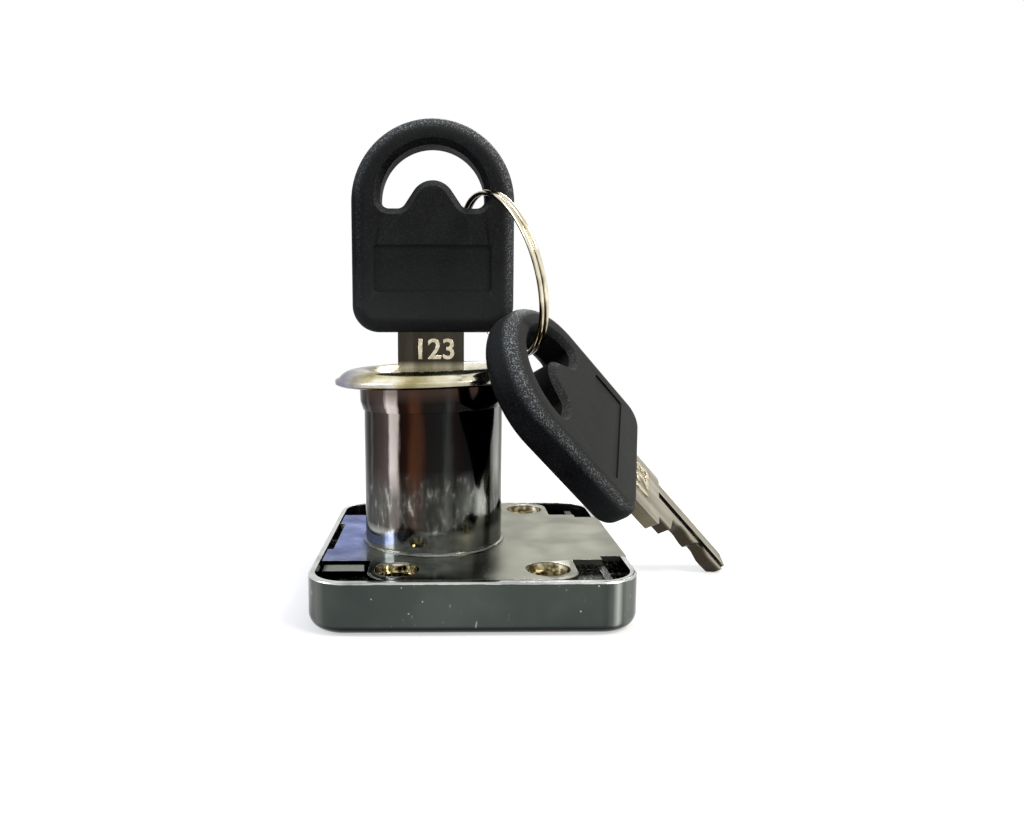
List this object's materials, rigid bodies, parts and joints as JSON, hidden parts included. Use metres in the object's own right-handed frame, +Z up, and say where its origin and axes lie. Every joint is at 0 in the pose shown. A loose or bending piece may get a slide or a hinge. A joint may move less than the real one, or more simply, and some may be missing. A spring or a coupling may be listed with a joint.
{
  "type": "drawer lock",
  "caption": "Screw-on drawer lock: square metal case with a sliding bolt, round barrel with a domed trim ring, and plastic-headed keys joined by a split ring.",
  "frame": {"origin": "on the axis of the barrel and plug, at the flat underside of the case", "axes": "+Z up the barrel towards the key, +X the way the bolt leaves, +Y to the back in the picture"},
  "size_m": [0.0581, 0.04, 0.0639],
  "materials": {
    "case_plating": "bright grey plating",
    "satin_plating": "satin nickel on cast zinc",
    "trim_nickel": "warm nickel plating on brass",
    "spring_steel": "bright drawn steel",
    "bolt_steel": "zinc plated steel",
    "key_nickel": "nickel plating on brass",
    "wafer_brass": "stamped brass",
    "ring_nickel": "bright nickel plating on steel wire",
    "black_plastic": "fine matte grain"
  },
  "bodies": {
    "lock": {"case": "case_plating", "lock_body": "satin_plating", "trim_ring": "trim_nickel"},
    "plug": {"plug": "satin_plating", "drive_pin": "spring_steel", "retaining_clip": "spring_steel", "wafer_spring_1": "spring_steel", "wafer_spring_2": "spring_steel", "wafer_spring_3": "spring_steel", "wafer_spring_4": "spring_steel", "wafer_spring_5": "spring_steel"},
    "wafer_1": {"wafer_1": "wafer_brass"},
    "wafer_2": {"wafer_2": "wafer_brass"},
    "wafer_3": {"wafer_3": "wafer_brass"},
    "wafer_4": {"wafer_4": "wafer_brass"},
    "wafer_5": {"wafer_5": "wafer_brass"},
    "bolt": {"bolt": "bolt_steel"},
    "key": {"key_blade": "key_nickel", "key_bow": "black_plastic"},
    "ring": {"split_ring": "ring_nickel"},
    "spare_key": {"spare_key_blade": "key_nickel", "spare_key_bow": "black_plastic"}
  },
  "joints": [
    {"name": "plug_turn", "type": "hinge", "parent": "lock", "child": "plug", "pos_m": [0, 0, 0], "axis": [0, 0, -1], "range_deg": [0, 180]},
    {"name": "bolt_slide", "type": "slide", "parent": "lock", "child": "bolt", "axis": [1, 0, 0], "range_m": [0, 0.007]},
    {"name": "wafer_1_slide", "type": "slide", "parent": "plug", "child": "wafer_1", "axis": [-1, 0, 0], "range_m": [0, 0.0008], "stiffness_N_per_m": 50, "springref_m": -0.0008, "deforming": ["wafer_spring_1"]},
    {"name": "wafer_2_slide", "type": "slide", "parent": "plug", "child": "wafer_2", "axis": [-1, 0, 0], "range_m": [0, 0.0008], "stiffness_N_per_m": 50, "springref_m": -0.0008, "deforming": ["wafer_spring_2"]},
    {"name": "wafer_3_slide", "type": "slide", "parent": "plug", "child": "wafer_3", "axis": [-1, 0, 0], "range_m": [0, 0.0008], "stiffness_N_per_m": 50, "springref_m": -0.0008, "deforming": ["wafer_spring_3"]},
    {"name": "wafer_4_slide", "type": "slide", "parent": "plug", "child": "wafer_4", "axis": [-1, 0, 0], "range_m": [0, 0.0008], "stiffness_N_per_m": 50, "springref_m": -0.0008, "deforming": ["wafer_spring_4"]},
    {"name": "wafer_5_slide", "type": "slide", "parent": "plug", "child": "wafer_5", "axis": [-1, 0, 0], "range_m": [0, 0.0008], "stiffness_N_per_m": 50, "springref_m": -0.0008, "deforming": ["wafer_spring_5"]},
    {"name": "key_slide", "type": "slide", "parent": "plug", "child": "key", "axis": [0, 0, 1], "range_m": [0, 0.022]},
    {"name": "ring_swing", "type": "hinge", "parent": "key", "child": "ring", "pos_m": [0.00537, 0, 0.05296], "axis": [0.2848, -0.9224, 0.261], "range_deg": [0, 30]},
    {"name": "spare_swing", "type": "hinge", "parent": "ring", "child": "spare_key", "pos_m": [0.01332, -0.00551, 0.03324], "axis": [0.2122, -0.8721, 0.4409], "range_deg": [0, 20]}
  ],
  "couplings": [
    {"joint": "plug_turn", "follows": "bolt_slide", "rad_per_m": 448.79}
  ]
}
